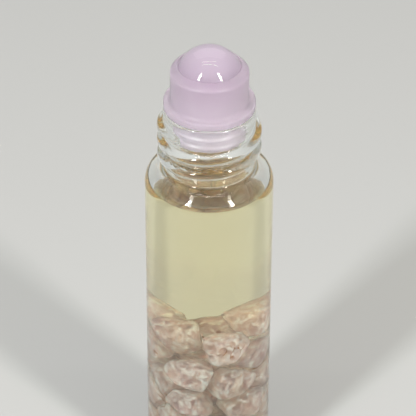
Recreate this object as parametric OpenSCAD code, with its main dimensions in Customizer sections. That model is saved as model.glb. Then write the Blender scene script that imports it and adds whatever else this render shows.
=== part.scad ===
// Roll on bottle of clear glass: a plastic housing pressed into its neck holds a rolling ball,
// and quartz chips lie in the oil. All sizes are in millimetres. The origin is the middle of the
// base on the plane that the bottle stands on, with +Z up the bottle's axis.

/* [Bottle] */
// Outer diameter of the body
body_d = 20; // [19:0.5:24]
// Height of the glass, from the standing plane to the mouth
bottle_h = 72; // [66:1:90]
// Thickness of the body's wall
wall = 1.5; // [1.2:0.1:1.7]
// Thickness of the glass under the contents
base_t = 3; // [2:0.1:4]
// Radius of the round at the foot, outside
heel_r = 1.6; // [1:0.1:2]
// Radius of the round at the foot, inside
inner_heel_r = 2; // [1.5:0.1:3]
// Diameter of the hollow pushed up into the base
push_up_d = 13; // [10:0.5:14]
// Height of that hollow at its middle
push_up_h = 0.8; // [0.3:0.1:1.2]
// Radius of the round shoulder
shoulder_r = 3.5; // [3:0.1:4]

/* [Neck] */
// Outer diameter of the neck between its threads
neck_d = 14.2; // [14:0.1:14.6]
// Height of the neck, from the top of the shoulder to the mouth
neck_h = 10.4; // [10:0.1:13]
// Diameter of the neck's bore
bore_d = 11.4; // [11:0.1:11.6]
// Length of the bore before it opens out into the body
bore_l = 8.8; // [7:0.1:9.6]
// Radius of the fire-polished edges at the mouth
mouth_edge_r = 0.35; // [0.2:0.05:0.5]
// Radius of the fillet where the neck meets the shoulder
neck_fillet_r = 0.4; // [0.2:0.1:0.6]

/* [Thread] */
// Diameter over the thread
thread_d = 16.1; // [15.8:0.1:16.6]
// Rise of the thread in one turn
thread_pitch = 2.6; // [2.5:0.1:3]
// Width of the ridge at its root
thread_w = 2.2; // [1.6:0.1:2.3]
// Turns of the thread
thread_turns = 2.3; // [1.5:0.1:2.3]
// Distance from the mouth to the middle of the topmost ridge
thread_drop = 2.8; // [2.5:0.1:3.2]
// Angle at which the topmost ridge starts
thread_start = 230; // [0:5:355]

/* [Roller housing] */
// Outer diameter of the cup
cup_d = 12; // [11.9:0.1:12.6]
// Height of the cup's lip above its flange's underside
cup_h = 7.4; // [7:0.1:7.8]
// Radius of the round where the cup's wall turns into its lip
lip_r = 0.65; // [0.4:0.05:0.8]
// Slope of the lip up to the opening
lip_slope = 45; // [35:5:50]
// Radius of the fillet at the cup's foot
cup_foot_r = 0.5; // [0.2:0.1:0.7]
// Diameter of the flange that rests on the mouth
flange_d = 14.1; // [13.8:0.1:14.6]
// Thickness of the flange
flange_t = 1.2; // [0.8:0.1:1.6]
// Length of the plug below the flange
plug_l = 4.8; // [4.4:0.1:6]
// Thickness of the plug's skirt, without its beads
plug_wall = 0.8; // [0.6:0.1:1]
// Thickness of the floor under the ball
seat_t = 2; // [1.4:0.1:2.4]
// Diameter of the hole that feeds the ball
feed_d = 2.6; // [2:0.1:3.2]
// Width of the slots that lead oil up the seat
slot_w = 0.8; // [0.6:0.1:1.2]
// Depth to which the slots are cut below the feed hole's rim
slot_deep = 0.4; // [0.2:0.1:0.6]
// Radial clearance of the beads in the bore
plug_clear = 0.05; // [0.02:0.01:0.08]
// Clearance under the flange
flange_clear = 0.05; // [0.02:0.01:0.1]

/* [Roller ball] */
// Diameter of the ball
ball_d = 10.4; // [10:0.1:10.6]
// Height by which the ball stands above the lip
ball_show = 2.9; // [2.7:0.1:3.2]
// Radial clearance of the ball in its seat
ball_clear = 0.06; // [0.03:0.01:0.1]

/* [Contents] */
// Distance from the mouth down to the oil
headspace = 14.4; // [14.3:0.1:24]
// Height by which the oil climbs the wall
meniscus_h = 0.7; // [0.3:0.1:1]
// Distance over which that climb fades
meniscus_w = 1.4; // [0.8:0.1:2]
// Clearance between the oil and what it wets
film = 0.05; // [0.02:0.01:0.08]
// Height of the bed of chips
bed_h = 30; // [20:1:36]
// Gap between neighbouring chips, and from the chips to the glass
chip_gap = 0.3; // [0.2:0.05:0.5]
// Layers of chips
chip_layers = 7; // [5:1:8]
// Chips round the wall in each layer, with one more in the middle
chips_round = 5; // [4:1:6]
// Number from which the chips' shapes are drawn
chip_seed = 41; // [1:1:99]

/* [Hidden] */
$fn = 72;
body_r = body_d / 2;
inner_r = body_r - wall;
bore_r = bore_d / 2;
neck_r = neck_d / 2;
shoulder_z = bottle_h - neck_h - shoulder_r;
push_up_r = push_up_d / 2;
// Height over which the inside opens out from the bore to the body
flare_l = neck_h + shoulder_r + wall / 2 - bore_l;
// Depth to which the thread's foot is sunk into the neck
thread_sink = 0.4;
// Share of a turn over which each end of the thread fades out
thread_fade_share = 0.1;
// Power that sets how full the ridge's round section is
thread_form = 2.4;
thread_steps = 36;
ridge_steps = 6;
edge_steps = 6;
arc_steps = 8;
curve_steps = 14;

housing_z = bottle_h + flange_clear;
cup_r = cup_d / 2;
flange_r = flange_d / 2;
flange_edge_r = 0.2;
plug_r = bore_r - plug_clear;
bead_h = 0.25;
bead_w = 0.9;
bead_shares = [0.2, 0.5, 0.8];
feed_r = feed_d / 2;
ball_r = ball_d / 2;
ball_z = housing_z + cup_h + ball_show - ball_r;
bowl_r = ball_r + ball_clear;
// Radius of the soft edge round the opening in the lip, and the angle where it turns inwards
lip_edge_r = 0.15;
lip_edge_end = 135;
// Angle below the ball's middle at which the slots end
slot_angle = 48;
slots = 3;

oil_z = bottle_h - headspace;
layer_h = bed_h / chip_layers;
chips_in_layer = chips_round + 1;
chip_count = chip_layers * chips_in_layer;
// Where the outer chips' middles lie, as a share of the inner radius
ring_share = 0.64;
// How far a chip's middle strays, as shares of the layer's height
stray_share = 0.22;
stagger_share = 0.2;
// How far a chip's corners are broken off from its middle, as shares of the layer's height
break_near_share = 0.56;
break_far_share = 0.92;
chip_breaks = 7;
// A chip reaches at most this share of the layer's height up or down
reach_share = 0.72;
// Chips whose middles lie further apart than this share of the layer's height don't meet
near_share = 2.5;
// Sideways tilt of a chip's highest and lowest faces, as a share of their rise
tilt_share = 0.2;
// Flats that follow the round wall beside a chip, and the turn from one to the next
wall_planes = 5;
wall_turn = 22.5;
// Differences under this count as none
near_zero = 0.001;

function chip_name(i) = str("quartz_chip_", i < 9 ? "0" : "", i + 1);

function arc(x, y, r, from, to, steps = arc_steps) = [
    for (i = [0:steps])
        let (a = from + (to - from) * i / steps)
        [x + r * cos(a), y + r * sin(a)]
];
function unit(v) = v / norm(v);

// Outside of the glass, from the middle of the base up to the mouth
function bottle_outside() =
    let (
        fillet_x = neck_r + neck_fillet_r,
        shoulder_x = body_r - shoulder_r,
        reach = shoulder_r + neck_fillet_r,
        rise = sqrt(reach * reach - pow(fillet_x - shoulder_x, 2)),
        meet = atan2(rise, fillet_x - shoulder_x)
    )
    concat(
        [for (i = [0:arc_steps]) let (t = i / arc_steps) [push_up_r * t, push_up_h * (1 - t * t)]],
        arc(body_r - heel_r, heel_r, heel_r, -90, 0),
        arc(shoulder_x, shoulder_z, shoulder_r, 0, meet, curve_steps),
        arc(fillet_x, shoulder_z + rise, neck_fillet_r, 180 + meet, 180),
        arc(neck_r - mouth_edge_r, bottle_h - mouth_edge_r, mouth_edge_r, 0, 90)
    );

// Inside of the glass, from the mouth down to the middle of the floor, drawn in by a gap
function bottle_inside(gap = 0) = concat(
    arc(bore_r + mouth_edge_r, bottle_h - mouth_edge_r, mouth_edge_r, 90, 180),
    [for (i = [0:curve_steps]) flare_point(i / curve_steps, gap)],
    foot_points(gap)
);
function flare_point(t, gap) = [
    bore_r - gap + (inner_r - bore_r) * (1 - cos(180 * t)) / 2,
    bottle_h - bore_l - flare_l * t
];
function foot_points(gap) = concat(
    arc(inner_r - inner_heel_r, base_t + inner_heel_r, inner_heel_r - gap, 0, -90),
    [[0, base_t + gap]]
);

// Points of the thread's section at s turns from its top end: the ridge, then its sunk foot
function ridge(s) =
    let (
        a = thread_start - 360 * s,
        z = bottle_h - thread_drop - thread_pitch * s,
        fade = sqrt(min(1, s / thread_fade_share, (thread_turns - s) / thread_fade_share)),
        full_h = thread_d / 2 - neck_r + thread_sink / 2
    )
    [
        for (i = [0:ridge_steps + 2])
            let (
                t = i > ridge_steps ? 0 : 2 * i / ridge_steps - 1,
                foot = i > ridge_steps,
                side = foot ? (i == ridge_steps + 1 ? 1 : -1) : t,
                h = foot ? -thread_sink / 2 : full_h * fade * (1 - pow(abs(t), thread_form)),
                r = neck_r - thread_sink / 2 + h
            )
            [r * cos(a), r * sin(a), z + side * thread_w / 2]
    ];

module thread() {
    rings = ceil(thread_turns * thread_steps);
    sides = ridge_steps + 3;
    points = [for (k = [0:rings]) each ridge(thread_turns * k / rings)];
    skin = [
        for (k = [0:rings - 1], i = [0:sides - 1])
            let (a = k * sides + i, b = k * sides + (i + 1) % sides)
            each [[a, b + sides, b], [a, a + sides, b + sides]]
    ];
    ends = [
        [for (i = [0:sides - 1]) i],
        [for (i = [0:sides - 1]) (rings + 1) * sides - 1 - i]
    ];
    polyhedron(points = points, faces = concat(skin, ends));
}

module glass_bottle() {
    color("azure", 0.4) {
        rotate_extrude() polygon(concat(bottle_outside(), bottle_inside()));
        thread();
    }
}

// Outline of a bead on the plug, read downwards
function bead(share) =
    let (z = housing_z - plug_l * share, r = plug_r - bead_h)
    [
        [r, z + bead_w / 2],
        [plug_r, z + bead_w / 6],
        [plug_r, z - bead_w / 6],
        [r, z - bead_w / 2]
    ];

module roller_housing() {
    lip_z = housing_z + cup_h;
    flange_z = housing_z + flange_t;
    open_angle = asin((lip_z - lip_edge_r - ball_z) / bowl_r);
    edge_x = bowl_r * cos(open_angle) + lip_edge_r;
    // Height of the middle of the lip's round, from which the slope runs up to the soft edge
    round_rise = ((cup_r - lip_r - edge_x) * sin(lip_slope) + lip_r - lip_edge_r) / cos(lip_slope);
    round_z = lip_z - lip_edge_r - round_rise;
    skirt_r = plug_r - bead_h - plug_wall;
    plug_end = housing_z - plug_l;
    slot_z = ball_z - bowl_r * sin(slot_angle);
    floor_z = ball_z - sqrt(bowl_r * bowl_r - feed_r * feed_r) - slot_deep;
    color("lavender") difference() {
        rotate_extrude() polygon(concat(
            arc(cup_r - lip_r, round_z, lip_r, 0, 90 - lip_slope),
            arc(edge_x, lip_z - lip_edge_r, lip_edge_r, 90 - lip_slope, lip_edge_end, edge_steps),
            arc(0, ball_z, bowl_r, open_angle, -acos(feed_r / bowl_r), curve_steps),
            [[feed_r, housing_z - seat_t], [skirt_r, housing_z - seat_t]],
            [[skirt_r, plug_end], [plug_r - bead_h * 2, plug_end]],
            [for (share = [bead_shares[2], bead_shares[1], bead_shares[0]]) each
                let (b = bead(share)) [b[3], b[2], b[1], b[0]]],
            [[plug_r - bead_h, housing_z]],
            arc(flange_r - flange_edge_r, housing_z + flange_edge_r, flange_edge_r, -90, 0),
            arc(flange_r - flange_edge_r, flange_z - flange_edge_r, flange_edge_r, 0, 90),
            arc(cup_r + cup_foot_r, flange_z + cup_foot_r, cup_foot_r, -90, -180)
        ));
        for (i = [0:slots - 1])
            rotate([0, 0, 360 / slots * i])
            translate([0, -slot_w / 2, floor_z])
            cube([bowl_r * cos(slot_angle), slot_w, slot_z - floor_z]);
    }
}

module roller_ball() {
    color("ghostwhite") translate([0, 0, ball_z]) sphere(r = ball_r);
}

// Middle of chip i, with the weight that makes its cell larger or smaller
function chip_middle(i) =
    let (
        layer = floor(i / chips_in_layer),
        place = i % chips_in_layer,
        u = rands(-1, 1, 4, chip_seed + i),
        stray = stray_share * layer_h,
        a = 360 * (place + layer / 2) / chips_round,
        r = place == chips_round ? stray * u[0] : ring_share * inner_r + stray * u[0],
        stagger = place % 2 == 0 ? stagger_share * layer_h : -stagger_share * layer_h
    )
    [
        [
            r * cos(a) - stray * u[1] * sin(a),
            r * sin(a) + stray * u[1] * cos(a),
            base_t + layer_h * (layer + 1 / 2) + stagger + stray * u[2]
        ],
        stray * layer_h * u[3]
    ];

// Planes that enclose chip i, as outward normals and distances. A neighbour gives the plane
// halfway to it, the glass gives flats round the wall and the heel, and breaks take off corners.
function chip_planes(i, grow) =
    let (
        me = chip_middle(i),
        p = me[0],
        near = near_share * layer_h,
        azimuth = atan2(p[1], p[0]),
        reach = reach_share * layer_h,
        foot_r = inner_r - inner_heel_r * (1 - cos(45)),
        foot_z = base_t + inner_heel_r * (1 - sin(45)),
        u = rands(-1, 1, 3 * chip_breaks + 4, chip_seed + chip_count + i),
        d = rands(break_near_share, break_far_share, chip_breaks, chip_seed + 2 * chip_count + i),
        lid = unit([tilt_share * u[0], tilt_share * u[1], 1]),
        bed = unit([tilt_share * u[2], tilt_share * u[3], -1]),
        neighbours = [
            for (j = [0:chip_count - 1])
                let (you = chip_middle(j), q = you[0], gap = norm(q - p))
                if (j != i && gap < near)
                    let (n = (q - p) / gap)
                    [n, n * (p + q) / 2 + (me[1] - you[1]) / gap / 2 - chip_gap / 2]
        ],
        flats = [
            for (k = [0:wall_planes - 1])
                let (a = azimuth + (k - (wall_planes - 1) / 2) * wall_turn)
                each [
                    [[cos(a), sin(a), 0], (inner_r - chip_gap) * cos(wall_turn / 2)],
                    [
                        [cos(a), sin(a), -1] / sqrt(2),
                        (foot_r * cos(wall_turn / 2) - foot_z) / sqrt(2) - chip_gap
                    ]
                ]
        ],
        breaks = [
            for (k = [0:chip_breaks - 1])
                let (n = unit([u[3 * k + 4], u[3 * k + 5], u[3 * k + 6]]))
                [n, n * p + d[k] * layer_h]
        ],
        ends = [
            [[0, 0, -1], -base_t - chip_gap],
            [lid, lid * p + reach],
            [bed, bed * p + reach]
        ]
    )
    [for (w = concat(neighbours, flats, breaks, ends)) if (w[1] - w[0] * p < near) [w[0], w[1] + grow]];

// Corners of the convex solid inside the planes, each with the three planes that meet there
function corners(planes) = [
    for (i = [0:len(planes) - 3], j = [i + 1:len(planes) - 2])
        let (n = cross(planes[i][0], planes[j][0]))
        if (norm(n) > near_zero)
            for (k = [j + 1:len(planes) - 1])
                let (det = n * planes[k][0])
                if (abs(det) > near_zero)
                    let (c = (
                        planes[k][1] * n
                        + planes[i][1] * cross(planes[j][0], planes[k][0])
                        + planes[j][1] * cross(planes[k][0], planes[i][0])
                    ) / det)
                    if (len([for (w = planes) if (w[0] * c > w[1] + near_zero * film) 1]) == 0)
                        [c, [i, j, k]]
];
function has(list, x) = len(search(x, list)) > 0;
function sorted(rows) = len(rows) < 2 ? rows :
    let (pivot = rows[0][0])
    concat(
        sorted([for (i = [1:len(rows) - 1]) if (rows[i][0] < pivot) rows[i]]),
        [rows[0]],
        sorted([for (i = [1:len(rows) - 1]) if (rows[i][0] >= pivot) rows[i]])
    );
// Corners on one plane, in order round its normal, seen clockwise from outside
function face(found, plane, w) =
    let (
        on = [for (i = [0:len(found) - 1]) if (has(found[i][1], w)) i],
        mid = len(on) < 3 ? 0 : [for (i = on) 1] * [for (i = on) found[i][0]] / len(on),
        x = len(on) < 3 ? 0 : unit(found[on[0]][0] - mid),
        y = len(on) < 3 ? 0 : cross(plane[0], x)
    )
    len(on) < 3 ? [] : [for (row = sorted([
        for (i = on) let (v = found[i][0] - mid) [-atan2(v * y, v * x), i]
    ])) row[1]];

module quartz_chip(i, grow = 0) {
    planes = chip_planes(i, grow);
    found = corners(planes);
    faces = [for (w = [0:len(planes) - 1]) face(found, planes[w], w)];
    polyhedron(points = [for (c = found) c[0]], faces = [for (f = faces) if (len(f) > 2) f]);
}

module oil() {
    // Where the oil's edge meets the glass, as a share of the way down the flare
    edge = min(1, (bottle_h - bore_l - oil_z - meniscus_h) / flare_l);
    edge_r = flare_point(edge, film)[0];
    surface = [
        for (i = [0:arc_steps])
            let (r = edge_r * sin(90 * i / arc_steps))
            [r, oil_z + meniscus_h * exp((r - edge_r) / meniscus_w)]
    ];
    side = [for (i = [1:arc_steps]) if (edge < 1) flare_point(edge + (1 - edge) * i / arc_steps, film)];
    color("khaki", 0.5) difference() {
        rotate_extrude() polygon(concat(surface, side, foot_points(film)));
        for (i = [0:chip_count - 1]) quartz_chip(i, film);
    }
}

glass_bottle();
roller_housing();
roller_ball();
oil();
for (i = [0:chip_count - 1])
    color("mistyrose", 0.8) quartz_chip(i);
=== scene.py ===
"""Roll on bottle: clear glass, a milky plastic housing with its ball, pale oil and quartz chips.

Lengths are in millimetres until a mesh is made, and angles in degrees unless a sum needs radians.
The bottle's axis goes up Z, with its foot at zero.
"""

import math

import bpy
import numpy as np
from mathutils import Matrix, Vector


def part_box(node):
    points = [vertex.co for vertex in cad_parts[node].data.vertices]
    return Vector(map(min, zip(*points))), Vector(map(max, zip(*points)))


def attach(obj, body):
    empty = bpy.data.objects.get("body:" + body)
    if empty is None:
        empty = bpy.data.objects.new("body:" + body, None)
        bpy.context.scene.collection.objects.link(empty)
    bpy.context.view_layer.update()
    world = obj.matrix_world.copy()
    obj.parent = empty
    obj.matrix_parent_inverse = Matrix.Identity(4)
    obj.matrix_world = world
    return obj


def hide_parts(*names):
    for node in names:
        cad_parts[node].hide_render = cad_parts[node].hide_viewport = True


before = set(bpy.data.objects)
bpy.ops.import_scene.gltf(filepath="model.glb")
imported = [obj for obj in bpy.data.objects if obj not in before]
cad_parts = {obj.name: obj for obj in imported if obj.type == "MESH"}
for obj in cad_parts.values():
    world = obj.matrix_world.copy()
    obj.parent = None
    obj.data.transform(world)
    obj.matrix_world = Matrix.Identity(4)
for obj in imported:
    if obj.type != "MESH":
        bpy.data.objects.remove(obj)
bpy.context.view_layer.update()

MM = 0.001

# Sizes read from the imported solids
glass_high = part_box("glass_bottle")[1] / MM
housing_low, housing_high = (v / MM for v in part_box("roller_housing"))
ball_low, ball_high = (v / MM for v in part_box("roller_ball"))
BODY_R = glass_high.x
MOUTH_Z = glass_high.z
FLANGE_R = housing_high.x
PLUG_END_Z = housing_low.z
LIP_Z = housing_high.z
BALL_R = ball_high.x
BALL_Z = (ball_low.z + ball_high.z) / 2
OIL_EDGE_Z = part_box("oil")[1].z / MM

# The glass, inside and out
WALL = 1.5
INNER_R = BODY_R - WALL
BASE_T = 3
HEEL_R = 1.6
INNER_HEEL_R = 2
PUSH_UP_R = 6.5
PUSH_UP_H = 0.8
SHOULDER_R = 3.5
NECK_R = 7.1
NECK_H = 10.4
BORE_R = 5.7
BORE_L = 8.8
FLARE_L = 5.85
MOUTH_EDGE_R = 0.35
FILLET_R = 0.4
SHOULDER_Z = MOUTH_Z - NECK_H - SHOULDER_R

# Its thread, a right-handed ridge that fades out at both ends
THREAD_R = 8.05
THREAD_PITCH = 2.6
THREAD_W = 2.2
THREAD_TURNS = 2.3
THREAD_DROP = 2.8
THREAD_START = 230
THREAD_FADE = 0.1
THREAD_FORM = 2.4
THREAD_ROOT = 0.12
NECK_ROWS = 110

# The housing, with its plug in the bore
PLUG_L = 4.8
HOUSING_Z = PLUG_END_Z + PLUG_L
CUP_R = 6
LIP_R = 0.65
LIP_SLOPE = 45
LIP_EDGE_R = 0.15
CUP_FOOT_R = 0.5
FLANGE_T = 1.2
FLANGE_EDGE_R = 0.2
PLUG_R = BORE_R - 0.05
PLUG_WALL = 0.8
BEAD_H = 0.25
BEAD_W = 0.9
BEAD_SHARES = (0.2, 0.5, 0.8)
SEAT_T = 2
FEED_R = 1.3
BOWL_R = BALL_R + 0.06
BALL_WAVE = 0.03
SLOTS = 3
SLOT_W = 0.8
SLOT_DEEP = 0.4
SLOT_ANGLE = 48
SLOT_STEP = 0.5

# The oil climbs the wall a little, and reaches just into the glass so that no air shows between
MENISCUS_H = 0.7
MENISCUS_W = 1.4
OIL_Z = OIL_EDGE_Z - MENISCUS_H
OIL_OVERLAP = 0.06

# Where the photograph was taken from, with PX values in its pixels
TILT = 36.42
EYE_DISTANCE = 394
AIM_Z = 52.77
ROLL = 0.26
FOCAL_PX = 2518
AXIS_PX = 209.05
FRAME_PX = 416
SENSOR = 36

# The studio, where the room lights things less than the eye sees of it
FLOOR_HALF = 3000
EVEN_FROM = 200
EVEN_TO = 600
LAMP_DISTANCE = 600
ROOM_LIGHT = 0.33
ROOM_SEEN = 0.75
BOUNCES = 64


def place_camera():
    """Camera at the photograph's angle, which looks down on the bottle's axis from the front."""
    data = bpy.data.cameras.new("camera")
    data.sensor_width = SENSOR
    data.lens = FOCAL_PX / FRAME_PX * SENSOR
    data.shift_x = (FRAME_PX / 2 - AXIS_PX) / FRAME_PX
    data.clip_start = 10 * MM
    camera = bpy.data.objects.new("camera", data)
    bpy.context.scene.collection.objects.link(camera)
    tilt = math.radians(TILT)
    eye = Vector((0, -math.cos(tilt), math.sin(tilt))) * EYE_DISTANCE + Vector((0, 0, AIM_Z))
    camera.matrix_world = (
        Matrix.Translation(eye * MM)
        @ Matrix.Rotation(math.pi / 2 - tilt, 4, "X")
        @ Matrix.Rotation(math.radians(ROLL), 4, "Z")
    )
    bpy.context.scene.camera = camera


place_camera()

# Surfaces


def arc(x, y, r, start, end, steps=10):
    """Points round a centre: (x + r cos t, y + r sin t), with t from start to end in degrees."""
    t = np.radians(np.linspace(start, end, steps + 1))
    return np.stack([x + r * np.cos(t), y + r * np.sin(t)], 1)


def outline(*parts, step=2.5, hold=0.08):
    """Profile of joined stretches. A straight run gets a point just inside each end, which keeps
    smooth shading true there, and points between them no further apart than the step."""
    points = np.concatenate([np.atleast_2d(np.asarray(p, float)) for p in parts])
    out = [points[:1]]
    for a, b in zip(points[:-1], points[1:]):
        run = np.linalg.norm(b - a)
        shares = [1.0]
        if run > 4 * hold:
            between = max(2, math.ceil((run - 2 * hold) / step) + 1)
            shares = [*np.linspace(hold / run, 1 - hold / run, between), 1.0]
        elif run < hold / 100:
            continue
        out.append(a + np.outer(shares, b - a))
    return np.concatenate(out)


def turned(profile, columns=240):
    """Grid of a turned form: profile point (r, z) at angle a lies at (r cos a, r sin a, z).
    Returns radii, angles and heights, each rows by columns, so that a caller may shape them."""
    a = np.linspace(0, 2 * math.pi, columns, endpoint=False)
    radii = np.repeat(profile[:, :1], columns, 1)
    heights = np.repeat(profile[:, 1:], columns, 1)
    return radii, np.repeat(a[None], len(profile), 0), heights


def skin(name, points, loop=False):
    """Closed mesh over a grid of points, rows by columns. Columns close round the axis. The rows
    close in a loop too, or else the first and the last row each shrink to one point, a pole.
    Faces are turned to give a positive volume, a sixth of the sum of a . (b x c)."""
    rows, columns = points.shape[:2]
    if loop:
        vertices = points.reshape(-1, 3)
        index = np.arange(rows * columns).reshape(rows, columns)
        lower, upper = index, np.roll(index, -1, 0)
        triangles = np.zeros((0, 3), int)
    else:
        body = points[1:-1].reshape(-1, 3)
        vertices = np.concatenate([body, points[:1].mean(1), points[-1:].mean(1)])
        index = np.arange(len(body)).reshape(rows - 2, columns)
        lower, upper = index[:-1], index[1:]
        near, far = index[0], index[-1]
        triangles = np.concatenate([
            np.stack([np.full(columns, len(body)), np.roll(near, -1), near], 1),
            np.stack([np.full(columns, len(body) + 1), far, np.roll(far, -1)], 1),
        ])
    quads = np.stack(
        [lower, np.roll(lower, -1, 1), np.roll(upper, -1, 1), upper], -1
    ).reshape(-1, 4)
    halves = np.concatenate([quads[:, :3], quads[:, [0, 2, 3]], triangles])
    a, b, c = (vertices[halves[:, k]] for k in range(3))
    if np.sum(a * np.cross(b, c)) < 0:
        quads, triangles = quads[:, ::-1], triangles[:, ::-1]
    mesh = bpy.data.meshes.new(name)
    mesh.from_pydata((vertices * MM).tolist(), [], quads.tolist() + triangles.tolist())
    mesh.shade_smooth()
    piece = bpy.data.objects.new(name, mesh)
    bpy.context.scene.collection.objects.link(piece)
    return piece


def around(radii, angles, heights):
    """Points of a turned grid in space."""
    return np.stack([radii * np.cos(angles), radii * np.sin(angles), heights], -1)


# The glass


def glass_outside():
    """Half section from the middle of the base up to the mouth: a pushed-up hollow whose height
    falls as (1 - t squared) squared, a rounded heel, the wall, a round shoulder and the neck."""
    t = np.linspace(0, 1, 13)
    fillet_x, shoulder_x = NECK_R + FILLET_R, BODY_R - SHOULDER_R
    reach = SHOULDER_R + FILLET_R
    rise = math.sqrt(reach**2 - (fillet_x - shoulder_x) ** 2)
    meet = math.degrees(math.atan2(rise, fillet_x - shoulder_x))
    neck_z = np.linspace(SHOULDER_Z + rise, MOUTH_Z - MOUTH_EDGE_R, NECK_ROWS)[1:-1]
    return outline(
        np.stack([PUSH_UP_R * t, PUSH_UP_H * (1 - t * t) ** 2], 1),
        arc(BODY_R - HEEL_R, HEEL_R, HEEL_R, -90, 0),
        arc(shoulder_x, SHOULDER_Z, SHOULDER_R, 0, meet, 20),
        arc(fillet_x, SHOULDER_Z + rise, FILLET_R, 180 + meet, 180, 6),
        np.stack([np.full(len(neck_z), NECK_R), neck_z], 1),
        arc(NECK_R - MOUTH_EDGE_R, MOUTH_Z - MOUTH_EDGE_R, MOUTH_EDGE_R, 0, 90, 6),
    )


def flare(overlap=0, start=0):
    """Inside of the shoulder, from a share of its length on, moved into the glass by an overlap:
    the radius swells from the bore to the body as half a cosine wave."""
    t = np.linspace(start, 1, 28)
    r = BORE_R + overlap + (INNER_R - BORE_R) * (1 - np.cos(math.pi * t)) / 2
    return np.stack([r, MOUTH_Z - BORE_L - FLARE_L * t], 1)


def foot(overlap=0):
    """Inside of the heel and the floor, moved into the glass by an overlap."""
    heel = arc(INNER_R - INNER_HEEL_R, BASE_T + INNER_HEEL_R, INNER_HEEL_R + overlap, 0, -90)
    return np.concatenate([heel, [[0, BASE_T - overlap]]])


def thread_height(angles, heights):
    """How far the thread stands out of the neck. At s turns from its top end the ridge's middle is
    pitch times s lower, and t is the distance from it in half widths. The height falls as
    1 - |t| to a power, and a smooth maximum with zero, (h + sqrt(h squared + k squared)) / 2,
    rounds its root."""
    first = ((math.radians(THREAD_START) - angles) / (2 * math.pi)) % 1
    best = np.full(angles.shape, -1.0)
    for turn in range(math.ceil(THREAD_TURNS)):
        s = first + turn
        t = (heights - (MOUTH_Z - THREAD_DROP - THREAD_PITCH * s)) / (THREAD_W / 2)
        ends = np.minimum(s, THREAD_TURNS - s) / THREAD_FADE
        fade = np.sqrt(np.clip(ends, 0, 1))
        best = np.maximum(best, (THREAD_R - NECK_R) * (fade - np.abs(t) ** THREAD_FORM))
    return (best + np.sqrt(best**2 + THREAD_ROOT**2)) / 2


def make_glass():
    """The bottle: one turned skin, out and in, with the thread raised on the neck's rows."""
    outside = glass_outside()
    inside = outline(
        arc(BORE_R + MOUTH_EDGE_R, MOUTH_Z - MOUTH_EDGE_R, MOUTH_EDGE_R, 90, 180, 6),
        flare(),
        foot(),
    )
    radii, angles, heights = turned(np.concatenate([outside, inside]))
    neck = np.zeros(len(radii), bool)
    neck[: len(outside)] = np.abs(outside[:, 0] - NECK_R) < 1e-6
    radii[neck] += thread_height(angles[neck], heights[neck])
    return skin("bottle_glass", around(radii, angles, heights))


# The housing and its ball


def bead(share):
    """A sealing bead on the plug, read upwards: a round ridge whose height falls as a cosine."""
    t = np.linspace(-1, 1, 9)
    r = PLUG_R - BEAD_H + BEAD_H * (1 + np.cos(math.pi * t)) / 2
    return np.stack([r, HOUSING_Z - PLUG_L * share + t * BEAD_W / 2], 1)


def make_housing():
    """Cup, lip, flange, seat and plug as one turned loop. The bowl under the ball is part of a
    sphere, and three slots are pressed into it down to one level."""
    open_angle = math.degrees(math.asin((LIP_Z - LIP_EDGE_R - BALL_Z) / BOWL_R))
    feed_angle = math.degrees(math.acos(FEED_R / BOWL_R))
    skirt_r = PLUG_R - BEAD_H - PLUG_WALL
    edge_x = BOWL_R * math.cos(math.radians(open_angle)) + LIP_EDGE_R
    slope = math.radians(LIP_SLOPE)
    rise = (CUP_R - LIP_R - edge_x) * math.sin(slope) + LIP_R - LIP_EDGE_R
    round_z = LIP_Z - LIP_EDGE_R - rise / math.cos(slope)
    profile = outline(
        arc(CUP_R - LIP_R, round_z, LIP_R, 0, 90 - LIP_SLOPE),
        arc(edge_x, LIP_Z - LIP_EDGE_R, LIP_EDGE_R, 90 - LIP_SLOPE, 180, 8),
        arc(0, BALL_Z, BOWL_R, open_angle, -SLOT_ANGLE, 24),
        arc(0, BALL_Z, BOWL_R, -SLOT_ANGLE - SLOT_STEP, -feed_angle, 16),
        [[FEED_R, HOUSING_Z - SEAT_T], [skirt_r, HOUSING_Z - SEAT_T]],
        [[skirt_r, PLUG_END_Z], [PLUG_R - 2 * BEAD_H, PLUG_END_Z]],
        *(bead(share) for share in reversed(BEAD_SHARES)),
        [[PLUG_R - BEAD_H, HOUSING_Z]],
        arc(FLANGE_R - FLANGE_EDGE_R, HOUSING_Z + FLANGE_EDGE_R, FLANGE_EDGE_R, -90, 0, 5),
        arc(FLANGE_R - FLANGE_EDGE_R, HOUSING_Z + FLANGE_T - FLANGE_EDGE_R, FLANGE_EDGE_R, 0, 90, 5),
        arc(CUP_R + CUP_FOOT_R, HOUSING_Z + FLANGE_T + CUP_FOOT_R, CUP_FOOT_R, -90, -180),
        [[CUP_R, round_z]],
    )[:-1]
    radii, angles, heights = turned(profile)
    near = 1e-4
    slot_top = BALL_Z - BOWL_R * math.sin(math.radians(SLOT_ANGLE))
    slot_floor = BALL_Z - math.sqrt(BOWL_R**2 - FEED_R**2) - SLOT_DEEP
    on_bowl = np.abs(np.hypot(radii, heights - BALL_Z) - BOWL_R) < near
    sector = 2 * math.pi / SLOTS
    off_middle = radii * np.sin((angles + sector / 2) % sector - sector / 2)
    slots = on_bowl & (heights < slot_top + near) & (np.abs(off_middle) < SLOT_W / 2)
    heights = np.where(slots, slot_floor, heights)
    return skin("roller_housing_shell", around(radii, angles, heights), loop=True)


def directions(rows, columns):
    """Unit vectors (sin p cos t, sin p sin t, cos p), with p from pole to pole and t all round."""
    p = np.linspace(0, math.pi, rows)[:, None]
    t = np.linspace(0, 2 * math.pi, columns, endpoint=False)[None]
    return np.stack([np.sin(p) * np.cos(t), np.sin(p) * np.sin(t), np.cos(p) + 0 * t], -1)


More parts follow.
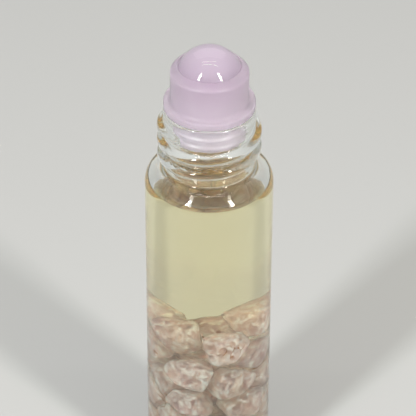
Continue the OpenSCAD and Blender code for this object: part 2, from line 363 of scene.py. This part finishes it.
def waviness(u, seed, count, pace):
    """Mean of sine waves along random axes, which turn by about pace radians from u = 0 to 1."""
    rng = np.random.default_rng(seed)
    axes = rng.normal(0, pace, (count, 3))
    return np.sin(u @ axes.T + rng.uniform(0, 2 * math.pi, count)).mean(-1)


def make_ball():
    """A ball whose poles lie on the X axis, the one that it turns about. Its radius is less by a
    wave height times (1 + the waves), which makes it faintly wavy and keeps it in its solid."""
    u = np.roll(directions(97, 192), 1, -1)[::-1]
    radius = BALL_R - BALL_WAVE * (1 + waviness(u, 3, 24, 9))
    return skin("ball", u * radius[..., None] + [0, 0, BALL_Z])


# The contents


def make_oil():
    """Oil up to a level surface that climbs the wall as exp(-distance / width)."""
    edge = (MOUTH_Z - BORE_L - OIL_EDGE_Z) / FLARE_L
    side = flare(OIL_OVERLAP, edge)
    r = side[0, 0] * np.sin(np.linspace(0, math.pi / 2, 40))
    surface = np.stack([r, OIL_Z + MENISCUS_H * np.exp((r - side[0, 0]) / MENISCUS_W)], 1)
    return skin("pale_oil", around(*turned(outline(surface, side[1:], foot(OIL_OVERLAP)))))


CHIP_POWER = 15
CHIP_WEAR = 0.035


def make_chip(node, seed):
    """A tumbled chip inside its solid's faces. With face k at distance d_k from the chip's middle
    along its normal n_k, the surface in direction u lies at (sum of (n_k . u / d_k) ^ p) ^ (-1/p),
    over the faces that look towards u, which rounds the edges and stays within every face. Wear
    then takes off a share that goes as (1 + the waves) squared."""
    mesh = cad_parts[node].data
    corners = np.zeros(len(mesh.vertices) * 3)
    mesh.vertices.foreach_get("co", corners)
    corners = corners.reshape(-1, 3) / MM
    mesh.calc_loop_triangles()
    triangles = np.zeros(len(mesh.loop_triangles) * 3, int)
    mesh.loop_triangles.foreach_get("vertices", triangles)
    a, b, c = (corners[triangles.reshape(-1, 3)[:, k]] for k in range(3))
    normals = np.cross(b - a, c - a)
    area = np.linalg.norm(normals, axis=1)
    whole = area > 1e-4
    normals = normals[whole] / area[whole, None]
    middle = corners.mean(0)
    distances = np.sum(normals * (a[whole] - middle), 1)
    planes = np.unique(np.round(np.column_stack([normals, distances]), 3), axis=0)
    u = directions(41, 64)
    facing = np.maximum(u @ planes[:, :3].T, 0) / planes[:, 3]
    radius = np.sum(facing**CHIP_POWER, -1) ** (-1 / CHIP_POWER)
    radius *= 1 - CHIP_WEAR * (1 + waviness(u, seed, 10, 3.2)) ** 2
    return skin("tumbled_" + node, middle + u * radius[..., None])


# Materials


def linear(code):
    """Linear RGBA of an sRGB hex colour: c / 12.92 when dark, else ((c + 0.055) / 1.055) ^ 2.4."""
    c = np.array([int(code[k : k + 2], 16) for k in (1, 3, 5)]) / 255
    c = np.where(c <= 0.04045, c / 12.92, ((c + 0.055) / 1.055) ** 2.4)
    return (*c.tolist(), 1.0)


def add(tree, kind, settings=None, **inputs):
    """Adds a node: settings are its properties, and each input takes a value, a socket, or a node
    that stands for its first output. An input's name has underscores for spaces, or in_ and its
    number."""
    node = tree.nodes.new(kind)
    for key, value in (settings or {}).items():
        setattr(node, key, value)
    for key, value in inputs.items():
        socket = node.inputs[int(key[3:]) if key.startswith("in_") else key.replace("_", " ")]
        if isinstance(value, bpy.types.Node):
            value = value.outputs[0]
        if isinstance(value, bpy.types.NodeSocket):
            tree.links.new(value, socket)
        else:
            socket.default_value = value
    return node


def new_material(name):
    """A material whose node tree is empty, and that tree."""
    material = bpy.data.materials.new(name)
    material.use_nodes = True
    material.node_tree.nodes.clear()
    return material, material.node_tree


SURFACES_A_SIDE = 3


def through(tree, surface, tint, beyond):
    """Lets light from lamps and bounces pass straight through a clear surface, with its tint, so
    that what the glass holds is lit. Light that has met more than the glass, out and in, and the
    oil's skin on one side would really be bent aside, so past them the darker tint shades what
    stands behind. The eye, gloss and refraction still meet the surface."""
    path = add(tree, "ShaderNodeLightPath")
    passes = add(
        tree, "ShaderNodeMath", {"operation": "MAXIMUM"},
        in_0=path.outputs["Is Shadow Ray"], in_1=path.outputs["Is Diffuse Ray"],
    )
    far = add(
        tree, "ShaderNodeMath", {"operation": "GREATER_THAN"},
        in_0=path.outputs["Transparent Depth"], in_1=SURFACES_A_SIDE,
    )
    shade = add(
        tree, "ShaderNodeMix", {"data_type": "RGBA"},
        in_0=far, in_6=linear(tint), in_7=linear(beyond),
    )
    clear = add(tree, "ShaderNodeBsdfTransparent", Color=shade.outputs[2])
    return add(tree, "ShaderNodeMixShader", in_0=passes, in_1=surface, in_2=clear)


def soda_lime_glass():
    """Blown soda-lime glass, fire-polished: clear, with long soft waves, a faint haze from handling
    and, on the pressed neck alone, fine level ripples."""
    material, tree = new_material("soda_lime_glass_blown")
    place = add(tree, "ShaderNodeTexCoord").outputs["Object"]
    waves = add(tree, "ShaderNodeTexNoise", Vector=place, Scale=1 / (7 * MM), Detail=1)
    waved = add(tree, "ShaderNodeBump", Height=waves, Distance=0.05 * MM)
    height = add(tree, "ShaderNodeSeparateXYZ", Vector=place).outputs["Z"]
    on_neck = add(
        tree, "ShaderNodeMapRange",
        Value=height, From_Min=(SHOULDER_Z + 1) * MM, From_Max=(SHOULDER_Z + 4) * MM,
    )
    level = add(tree, "ShaderNodeMapping", Vector=place, Scale=(1, 1, 5))
    ripples = add(tree, "ShaderNodeTexNoise", Vector=level, Scale=1 / (2.5 * MM), Detail=2)
    rippled = add(
        tree, "ShaderNodeBump", Height=ripples, Distance=0.04 * MM, Strength=on_neck, Normal=waved,
    )
    haze = add(tree, "ShaderNodeTexNoise", Vector=place, Scale=1 / (2.5 * MM), Detail=3)
    hazed = add(tree, "ShaderNodeMapRange", Value=haze, From_Min=0.5, From_Max=0.8, To_Max=0.03)
    surface = add(
        tree, "ShaderNodeBsdfPrincipled",
        Base_Color=linear("#FAFDFB"), IOR=1.5, Transmission_Weight=1.0,
        Roughness=hazed, Normal=rippled,
    )
    add(tree, "ShaderNodeOutputMaterial", Surface=through(tree, surface, "#F4F8F6", "#9CA09E"))
    return material


def carrier_oil():
    """Pale yellow carrier oil: clear, and yellower where more of it lies behind."""
    material, tree = new_material("carrier_oil_pale")
    place = add(tree, "ShaderNodeTexCoord").outputs["Object"]
    swell = add(tree, "ShaderNodeTexNoise", Vector=place, Scale=1 / (4 * MM), Detail=1)
    swelled = add(tree, "ShaderNodeBump", Height=swell, Distance=0.01 * MM)
    surface = add(
        tree, "ShaderNodeBsdfPrincipled",
        Base_Color=linear("#FFFFFF"), IOR=1.47, Transmission_Weight=1.0, Roughness=0.0,
        Normal=swelled,
    )
    absorb = add(tree, "ShaderNodeVolumeAbsorption", Color=linear("#FCE400"), Density=30.0)
    clear = through(tree, surface, "#FFFDF6", "#A8A6A0")
    add(tree, "ShaderNodeOutputMaterial", Surface=clear, Volume=absorb)
    return material


def milky_plastic(name, tint, density, rough):
    """Natural polyolefin, injection moulded: a skin, satin or polished, over a milky inside, so
    that a thin wall shows what lies behind it and a thick one is lit from within."""
    material, tree = new_material(name)
    surface = add(
        tree, "ShaderNodeBsdfPrincipled",
        Base_Color=linear(tint), IOR=1.5, Transmission_Weight=1.0, Roughness=rough,
    )
    milk = add(tree, "ShaderNodeVolumeScatter", Color=linear("#FFFFFF"), Density=density)
    add(tree, "ShaderNodeOutputMaterial", Surface=surface, Volume=milk)
    return material


def tumbled_quartz():
    """Clear to milky quartz, tumbled: glassy in places, with white veils, and rusty stains along
    healed cracks. Its IOR is that of quartz over that of the oil round it."""
    material, tree = new_material("quartz_tumbled")
    place = add(tree, "ShaderNodeTexCoord").outputs["Object"]
    clouds = add(tree, "ShaderNodeTexNoise", Vector=place, Scale=1 / (6 * MM), Detail=2)
    cloudy = add(tree, "ShaderNodeMapRange", Value=clouds, From_Min=0.35, From_Max=0.65)
    milk = add(
        tree, "ShaderNodeMix", {"data_type": "RGBA"},
        in_0=cloudy, in_6=linear("#EACED6"), in_7=linear("#EAD0CA"),
    )
    veil = add(
        tree, "ShaderNodeTexNoise",
        Vector=place, Scale=1 / (1.4 * MM), Detail=5, Roughness=0.7, Distortion=1.0,
    )
    whiter = add(tree, "ShaderNodeMapRange", Value=veil, From_Min=0.45, From_Max=0.62)
    veiled = add(
        tree, "ShaderNodeMix", {"data_type": "RGBA"},
        in_0=whiter, in_6=milk.outputs[2], in_7=linear("#FFF6FA"),
    )
    crack = add(
        tree, "ShaderNodeTexNoise", Vector=place, Scale=1 / (5 * MM), Detail=3, Distortion=1.5,
    )
    from_crack = add(tree, "ShaderNodeMath", {"operation": "SUBTRACT"}, in_0=crack, in_1=0.5)
    off_crack = add(tree, "ShaderNodeMath", {"operation": "ABSOLUTE"}, in_0=from_crack)
    along = add(
        tree, "ShaderNodeMapRange",
        Value=off_crack, From_Min=0.004, From_Max=0.02, To_Min=1, To_Max=0,
    )
    patches = add(tree, "ShaderNodeTexNoise", Vector=place, Scale=1 / (9 * MM), Detail=1)
    rare = add(tree, "ShaderNodeMapRange", Value=patches, From_Min=0.6, From_Max=0.66)
    stain = add(tree, "ShaderNodeMath", {"operation": "MULTIPLY"}, in_0=along, in_1=rare)
    colour = add(
        tree, "ShaderNodeMix", {"data_type": "RGBA"},
        in_0=stain, in_6=veiled.outputs[2], in_7=linear("#A86A2C"),
    )
    glassy = add(
        tree, "ShaderNodeMapRange",
        Value=veil, From_Min=0.42, From_Max=0.62, To_Min=0.92, To_Max=0.45,
    )
    surface = add(
        tree, "ShaderNodeBsdfPrincipled",
        Base_Color=colour.outputs[2], IOR=1.05, Transmission_Weight=glassy, Roughness=0.35,
        Subsurface_Weight=1.0, Subsurface_Scale=2.0 * MM, Subsurface_Radius=(1.0, 0.9, 0.85),
    )
    add(tree, "ShaderNodeOutputMaterial", Surface=through(tree, surface, "#FAF2F0", "#F0E6E2"))
    return material


def seen(tree):
    """1 for rays that carry what the eye sees, straight or in gloss or through glass, else 0."""
    path = add(tree, "ShaderNodeLightPath")
    clear = add(
        tree, "ShaderNodeMath", {"operation": "MAXIMUM"},
        in_0=path.outputs["Is Glossy Ray"], in_1=path.outputs["Is Transmission Ray"],
    )
    return add(
        tree, "ShaderNodeMath", {"operation": "MAXIMUM"},
        in_0=path.outputs["Is Camera Ray"], in_1=clear,
    )


def studio_floor():
    """Matt painted board in one pale grey, which the eye sees as evenly lit away from the bottle."""
    material, tree = new_material("painted_board")
    board = linear("#CACBC9")
    surface = add(
        tree, "ShaderNodeBsdfPrincipled", Base_Color=board, Roughness=0.9, Specular_IOR_Level=0.2,
    )
    place = add(tree, "ShaderNodeTexCoord").outputs["Object"]
    away = add(tree, "ShaderNodeVectorMath", {"operation": "LENGTH"}, Vector=place).outputs["Value"]
    even = add(
        tree, "ShaderNodeMapRange", Value=away, From_Min=EVEN_FROM * MM, From_Max=EVEN_TO * MM,
    )
    seen_even = add(tree, "ShaderNodeMath", {"operation": "MULTIPLY"}, in_0=even, in_1=seen(tree))
    glow = add(tree, "ShaderNodeEmission", Color=board)
    mix = add(tree, "ShaderNodeMixShader", in_0=seen_even, in_1=surface, in_2=glow)
    add(tree, "ShaderNodeOutputMaterial", Surface=mix)
    return material


def dress(piece, material, body, slot, *nodes):
    """Gives a piece its material and its body, and hides the solids that it stands for. The slot is
    not used.
    """
    piece.data.materials.append(material)
    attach(piece, body)
    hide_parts(*nodes)


glass = soda_lime_glass()
oil = carrier_oil()
quartz = tumbled_quartz()
dress(make_glass(), glass, "bottle", "clear_glass", "glass_bottle")
dress(
    make_housing(), milky_plastic("polyethylene_moulded", "#FFEEFF", 1700, 0.3),
    "fitment", "housing_plastic", "roller_housing",
)
dress(
    make_ball(), milky_plastic("polypropylene_ball", "#F2E0F4", 900, 0.08),
    "ball", "ball_plastic", "roller_ball",
)
dress(make_oil(), oil, "bottle", "oil", "oil")
chips = sorted(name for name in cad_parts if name.startswith("quartz_chip_"))
for seed, node in enumerate(chips):
    dress(make_chip(node, seed), quartz, "bottle", "quartz", node)

# Studio


def make_floor():
    """A wide level board."""
    half = FLOOR_HALF * MM
    mesh = bpy.data.meshes.new("floor")
    mesh.from_pydata(
        [(-half, -half, 0), (half, -half, 0), (half, half, 0), (-half, half, 0)], [], [(0, 1, 2, 3)],
    )
    floor = bpy.data.objects.new("floor", mesh)
    bpy.context.scene.collection.objects.link(floor)
    mesh.materials.append(studio_floor())


def softbox(name, azimuth, elevation, width, height, power, colour):
    """Area lamp that looks at the bottle's neck from an azimuth (0 is the front, 90 the right),
    with its power in watts."""
    data = bpy.data.lights.new(name, "AREA")
    data.shape = "RECTANGLE"
    data.size, data.size_y = width * MM, height * MM
    data.energy = power
    data.color = linear(colour)[:3]
    lamp = bpy.data.objects.new(name, data)
    bpy.context.scene.collection.objects.link(lamp)
    a, e = math.radians(azimuth), math.radians(elevation)
    away = Vector((math.sin(a) * math.cos(e), -math.cos(a) * math.cos(e), math.sin(e)))
    lamp.location = (away * LAMP_DISTANCE + Vector((0, 0, AIM_Z))) * MM
    lamp.rotation_euler = away.to_track_quat("Z", "Y").to_euler()


def make_world():
    """A pale room with a plain even light, which the eye sees as a pale wall."""
    world = bpy.data.worlds.new("studio")
    bpy.context.scene.world = world
    world.use_nodes = True
    tree = world.node_tree
    tree.nodes.clear()
    strength = add(tree, "ShaderNodeMix", in_0=seen(tree), in_2=ROOM_LIGHT, in_3=ROOM_SEEN)
    pale = add(tree, "ShaderNodeBackground", Color=linear("#E4E4E2"), Strength=strength)
    add(tree, "ShaderNodeOutputWorld", Surface=pale)


make_floor()
make_world()
softbox("overhead_near", 0, 78, 500, 20, 0.45, "#FFFAF6")
softbox("overhead_far", 0, 90, 500, 20, 0.3, "#FFFAF6")
softbox("strip_left", -38, 30, 60, 300, 2.5, "#FFFFFF")
softbox("strip_right", 42, 30, 60, 300, 2.2, "#FFFBF6")
softbox("behind", 180, 50, 800, 500, 0.9, "#FFFFFF")

scene = bpy.context.scene
scene.view_settings.view_transform = "Standard"
scene.cycles.use_denoising = True
scene.cycles.max_bounces = BOUNCES
scene.cycles.transmission_bounces = BOUNCES
scene.cycles.glossy_bounces = BOUNCES
scene.cycles.transparent_max_bounces = BOUNCES
scene.cycles.volume_bounces = BOUNCES
